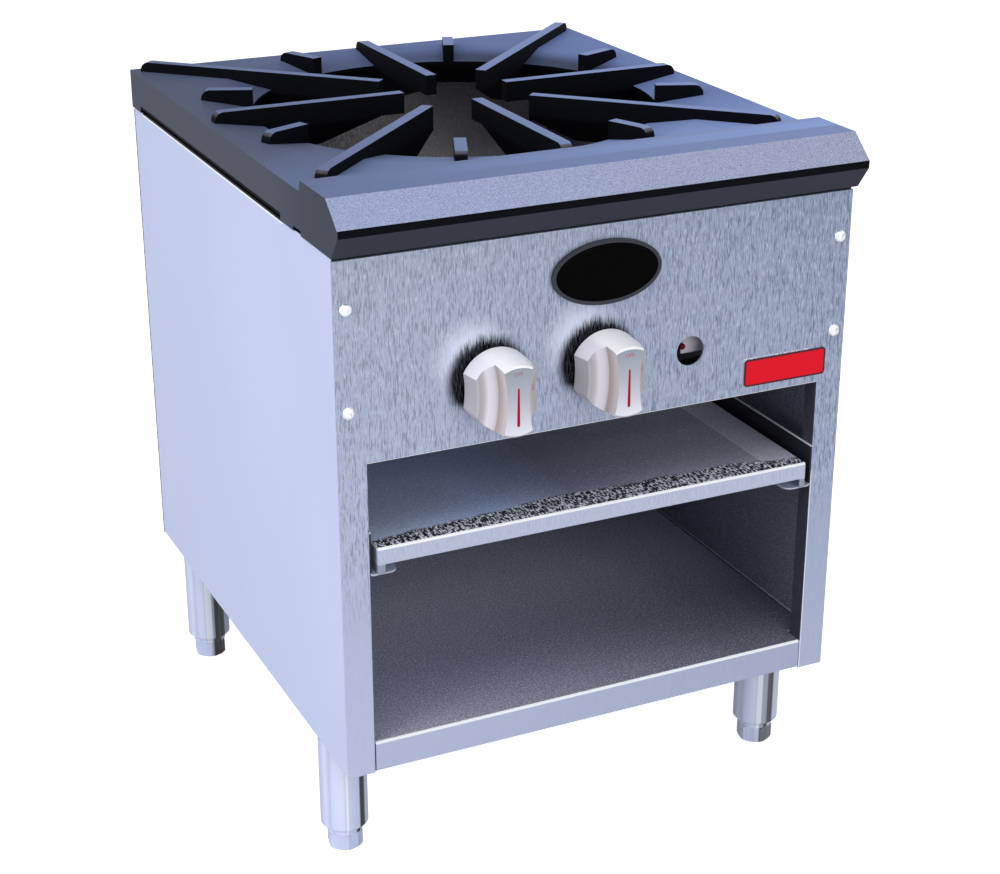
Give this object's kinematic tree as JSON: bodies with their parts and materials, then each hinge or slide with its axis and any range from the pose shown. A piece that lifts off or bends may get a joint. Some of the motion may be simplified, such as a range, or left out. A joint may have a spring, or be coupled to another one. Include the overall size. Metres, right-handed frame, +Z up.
{
  "type": "stock pot range",
  "caption": "Low gas range on tube legs: cast top with radial fingers over a ring burner, two knobs, sliding drip tray and an open lower compartment.",
  "frame": {"origin": "on the floor, below the middle of the bounding box", "axes": "+X to the right seen from the front, +Y to the rear, +Z up; knobs and nosing face -Y"},
  "size_m": [0.46, 0.5878, 0.597],
  "materials": {
    "panel_stainless": "brushed upright, satin",
    "side_steel": "satin pale blue-grey",
    "inner_steel": "dull brushed",
    "rear_steel": "dull brushed",
    "cast_top": "fine-grained, semi-matte",
    "burner_iron": "rough",
    "leg_chrome": "polished",
    "screw_steel": "polished",
    "knob_body": "satin silver-grey",
    "badge_rim": "satin",
    "badge_black": "gloss",
    "plate_red": "gloss",
    "plate_dark": "satin",
    "brass": "machined",
    "pipe_black": "semi-matte",
    "zinc_steel": "zinc plated",
    "pilot_aluminium": "drawn",
    "cap_red": "dull"
  },
  "bodies": {
    "cabinet": {"front_panel": "panel_stainless", "side_panel_left": "side_steel", "side_panel_right": "side_steel", "back_panel": "rear_steel", "floor_pan": "inner_steel", "base_channel_front": "zinc_steel", "base_channel_rear": "zinc_steel", "leg_nuts": "zinc_steel", "tray_rail_left": "inner_steel", "tray_rail_right": "inner_steel", "panel_screws": "screw_steel", "back_screws": "zinc_steel", "badge_frame": "badge_rim", "badge_face": "badge_black", "name_plate_frame": "plate_dark", "name_plate": "plate_red", "manifold_pipe": "pipe_black", "manifold_cap": "pipe_black", "manifold_bracket_left": "zinc_steel", "manifold_bracket_right": "zinc_steel", "supply_elbow": "pipe_black", "supply_pipe": "pipe_black", "inlet_plate": "zinc_steel", "burner_outer": "burner_iron", "burner_inner": "burner_iron", "burner_support_front": "zinc_steel", "burner_support_rear": "zinc_steel", "pilot_valve": "brass", "pilot_cap": "cap_red", "pilot_bracket": "zinc_steel", "pilot_tube": "pilot_aluminium", "pilot_head": "zinc_steel", "pilot_arm": "zinc_steel", "gas_valve_left": "brass", "orifice_hood_left": "brass", "gas_valve_right": "brass", "orifice_hood_right": "brass", "leg_front_left": "leg_chrome", "leg_front_right": "leg_chrome", "leg_rear_left": "leg_chrome", "leg_rear_right": "leg_chrome"},
    "drip_tray": {"drip_tray": "inner_steel"},
    "top_casting": {"top_casting": "cast_top"},
    "knob_left": {"knob_left": "knob_body", "valve_stem_left": "zinc_steel"},
    "air_shutter_left": {"air_shutter_left": "zinc_steel"},
    "knob_right": {"knob_right": "knob_body", "valve_stem_right": "zinc_steel"},
    "air_shutter_right": {"air_shutter_right": "zinc_steel"},
    "foot_front_left": {"foot_front_left": "leg_chrome"},
    "foot_front_right": {"foot_front_right": "leg_chrome"},
    "foot_rear_left": {"foot_rear_left": "leg_chrome"},
    "foot_rear_right": {"foot_rear_right": "leg_chrome"}
  },
  "joints": [
    {"name": "tray_slide", "type": "slide", "parent": "cabinet", "child": "drip_tray", "axis": [0, -1, 0], "range_m": [0, 0.4]},
    {"name": "casting_lift", "type": "slide", "parent": "cabinet", "child": "top_casting", "axis": [0, 0, 1], "range_m": [0, 0.15]},
    {"name": "knob_left_turn", "type": "hinge", "parent": "cabinet", "child": "knob_left", "pos_m": [-0.096, -0.25185, 0.432], "axis": [0, -1, 0], "range_deg": [0, 90]},
    {"name": "knob_right_turn", "type": "hinge", "parent": "cabinet", "child": "knob_right", "pos_m": [0, -0.25185, 0.432], "axis": [0, -1, 0], "range_deg": [0, 90]},
    {"name": "air_shutter_left_turn", "type": "hinge", "parent": "cabinet", "child": "air_shutter_left", "pos_m": [-0.096, -0.17485, 0.432], "axis": [0, -1, 0], "range_deg": [-30, 30]},
    {"name": "air_shutter_right_turn", "type": "hinge", "parent": "cabinet", "child": "air_shutter_right", "pos_m": [0, -0.17485, 0.432], "axis": [0, -1, 0], "range_deg": [-30, 30]},
    {"name": "foot_front_left_screw", "type": "slide", "parent": "cabinet", "child": "foot_front_left", "axis": [0, 0, -1], "range_m": [0, 0.025]},
    {"name": "foot_front_right_screw", "type": "slide", "parent": "cabinet", "child": "foot_front_right", "axis": [0, 0, -1], "range_m": [0, 0.025]},
    {"name": "foot_rear_left_screw", "type": "slide", "parent": "cabinet", "child": "foot_rear_left", "axis": [0, 0, -1], "range_m": [0, 0.025]},
    {"name": "foot_rear_right_screw", "type": "slide", "parent": "cabinet", "child": "foot_rear_right", "axis": [0, 0, -1], "range_m": [0, 0.025]}
  ]
}
